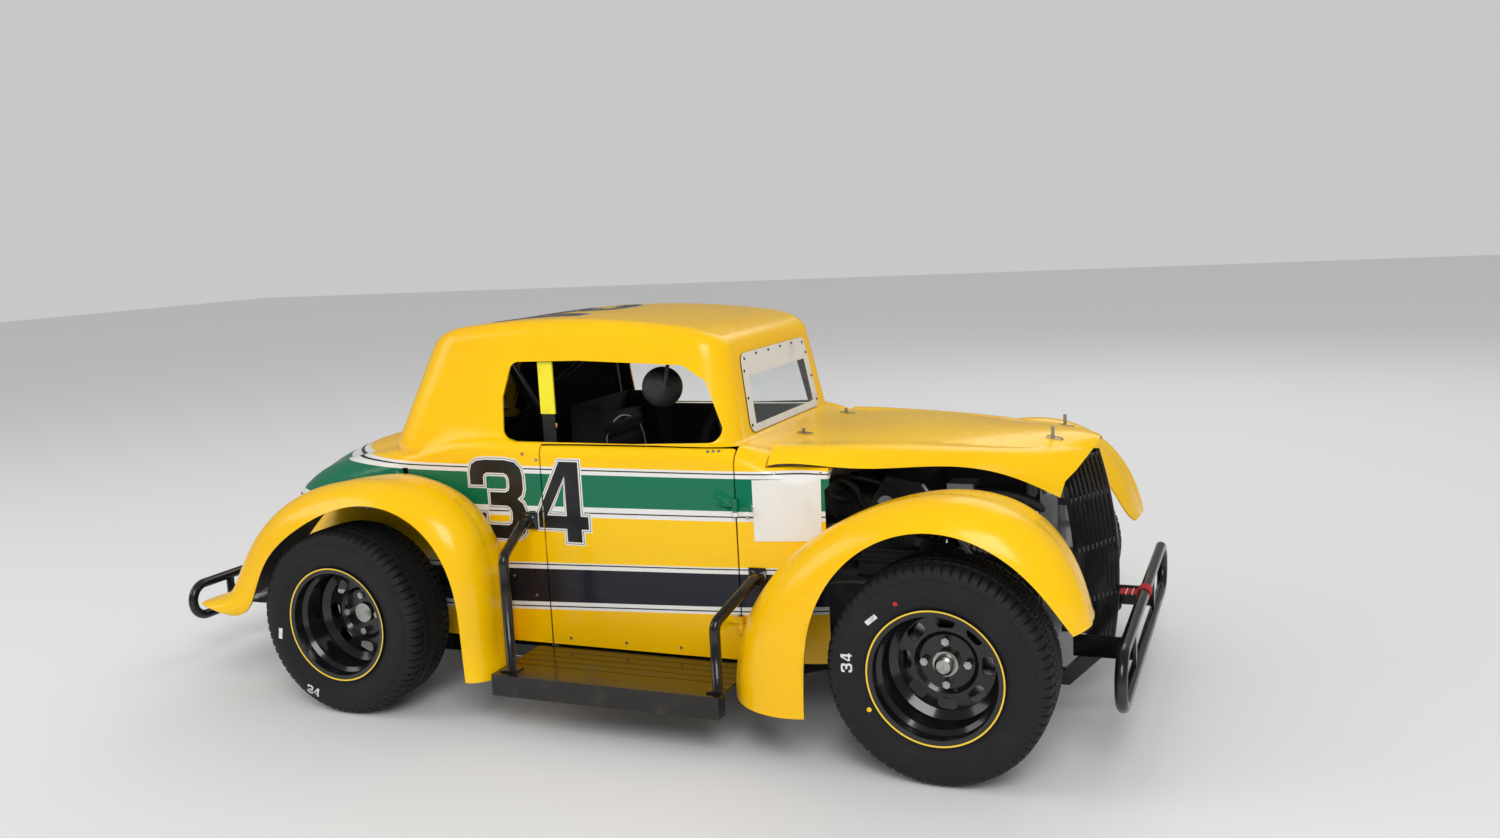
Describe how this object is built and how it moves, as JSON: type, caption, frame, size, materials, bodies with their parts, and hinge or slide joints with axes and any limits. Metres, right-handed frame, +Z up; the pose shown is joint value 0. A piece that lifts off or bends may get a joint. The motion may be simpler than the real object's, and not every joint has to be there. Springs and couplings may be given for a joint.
{
  "type": "legends race car",
  "caption": "Small closed-cab race car with 1930s coupe body, open fenders, tube bumpers, lift-off hood, hinged doors, steered front wheels and a tube frame",
  "frame": {"origin": "on the ground under the middle of the whole car", "axes": "+X forward to the front bumper, +Y to the driver's left, +Z up"},
  "size_m": [3.2033, 1.5186, 1.1709],
  "materials": {
    "frame_black": "gloss black enamel on steel tube",
    "body_yellow": "sunny yellow gloss gel coat on glass-fibre panels",
    "alloy_sheet": "plain rolled sheet",
    "clear_sheet": "clear polycarbonate sheet",
    "border_white": "white vinyl film",
    "grille_black": "gloss black bars",
    "radiator_alloy": "bare alloy",
    "board_black": "gloss black plate",
    "strap_red": "red woven webbing",
    "engine_cast": "grey cast metal",
    "exhaust_steel": "bare steel",
    "tank_black": "black moulding",
    "seat_cloth": "black cloth with light piping",
    "wheel_grip": "black suede grip",
    "tyre_rubber": "black rubber",
    "rim_black": "gloss black steel with a thin yellow line",
    "hub_steel": "turned steel"
  },
  "bodies": {
    "root": {"chassis_frame": "frame_black", "roll_cage": "frame_black", "floor_pan": "alloy_sheet", "firewall": "alloy_sheet", "body_shell": "body_yellow", "windscreen": "clear_sheet", "windscreen_border": "border_white", "grille": "grille_black", "radiator": "radiator_alloy", "hood_pins": "radiator_alloy", "fender_front_right": "body_yellow", "fender_front_left": "body_yellow", "fender_rear_right": "body_yellow", "fender_rear_left": "body_yellow", "running_board_right": "board_black", "running_board_left": "board_black", "side_bars_right": "frame_black", "side_bars_left": "frame_black", "front_bumper": "frame_black", "rear_bumper": "frame_black", "tow_strap": "strap_red", "engine": "engine_cast", "exhaust": "exhaust_steel", "fuel_cell": "tank_black", "seat": "alloy_sheet", "seat_pad": "seat_cloth", "dash_panel": "board_black", "steering_column": "frame_black", "rack_housing": "radiator_alloy", "front_arms_right": "frame_black", "front_arms_left": "frame_black", "coilovers": "exhaust_steel", "rear_axle": "frame_black", "drive_shaft": "frame_black", "rear_links": "frame_black", "interior_mirror": "tank_black"},
    "hood": {"hood": "body_yellow"},
    "door_right": {"door_right": "body_yellow"},
    "door_left": {"door_left": "body_yellow"},
    "knuckle_right": {"knuckle_right": "engine_cast"},
    "knuckle_left": {"knuckle_left": "engine_cast"},
    "rack_bar": {"rack_bar": "radiator_alloy"},
    "steering_wheel": {"steering_wheel": "wheel_grip"},
    "wheel_front_right": {"tyre_front_right": "tyre_rubber", "rim_front_right": "rim_black", "hub_front_right": "hub_steel"},
    "wheel_front_left": {"tyre_front_left": "tyre_rubber", "rim_front_left": "rim_black", "hub_front_left": "hub_steel"},
    "wheel_rear_right": {"tyre_rear_right": "tyre_rubber", "rim_rear_right": "rim_black", "hub_rear_right": "hub_steel"},
    "wheel_rear_left": {"tyre_rear_left": "tyre_rubber", "rim_rear_left": "rim_black", "hub_rear_left": "hub_steel"}
  },
  "joints": [
    {"name": "hood_lift", "type": "slide", "parent": "root", "child": "hood", "axis": [0, 0, 1], "range_m": [0, 0.4]},
    {"name": "door_right_hinge", "type": "hinge", "parent": "root", "child": "door_right", "pos_m": [0.528, -0.476, 0.5], "axis": [0, 0, 1], "range_deg": [0, 60]},
    {"name": "door_left_hinge", "type": "hinge", "parent": "root", "child": "door_left", "pos_m": [0.528, 0.476, 0.5], "axis": [0, 0, -1], "range_deg": [0, 60]},
    {"name": "steer_left", "type": "hinge", "parent": "root", "child": "knuckle_left", "pos_m": [1.155, 0.5, 0.288], "axis": [0, 0, 1], "range_deg": [-20, 20]},
    {"name": "steer_right", "type": "hinge", "parent": "root", "child": "knuckle_right", "pos_m": [1.155, -0.5, 0.288], "axis": [0, 0, 1], "range_deg": [-20, 20]},
    {"name": "rack_slide", "type": "slide", "parent": "root", "child": "rack_bar", "axis": [0, -1, 0], "range_m": [-0.0405, 0.0405]},
    {"name": "steering_turn", "type": "hinge", "parent": "root", "child": "steering_wheel", "pos_m": [0.215, 0.168, 0.75], "axis": [-0.9407, 0, 0.3393], "range_deg": [-142, 142]},
    {"name": "spin_front_right", "type": "hinge", "parent": "knuckle_right", "child": "wheel_front_right", "pos_m": [1.155, -0.64, 0.288], "axis": [0, 1, 0], "continuous": true},
    {"name": "spin_front_left", "type": "hinge", "parent": "knuckle_left", "child": "wheel_front_left", "pos_m": [1.155, 0.64, 0.288], "axis": [0, 1, 0], "continuous": true},
    {"name": "spin_rear_right", "type": "hinge", "parent": "root", "child": "wheel_rear_right", "pos_m": [-0.699, -0.64, 0.288], "axis": [0, 1, 0], "continuous": true},
    {"name": "spin_rear_left", "type": "hinge", "parent": "root", "child": "wheel_rear_left", "pos_m": [-0.699, 0.64, 0.288], "axis": [0, 1, 0], "continuous": true}
  ],
  "couplings": [
    {"joint": "steer_right", "follows": "steer_left", "ratio": 1},
    {"joint": "rack_slide", "follows": "steer_left", "m_per_rad": 0.115},
    {"joint": "steering_turn", "follows": "steer_left", "ratio": 7}
  ]
}
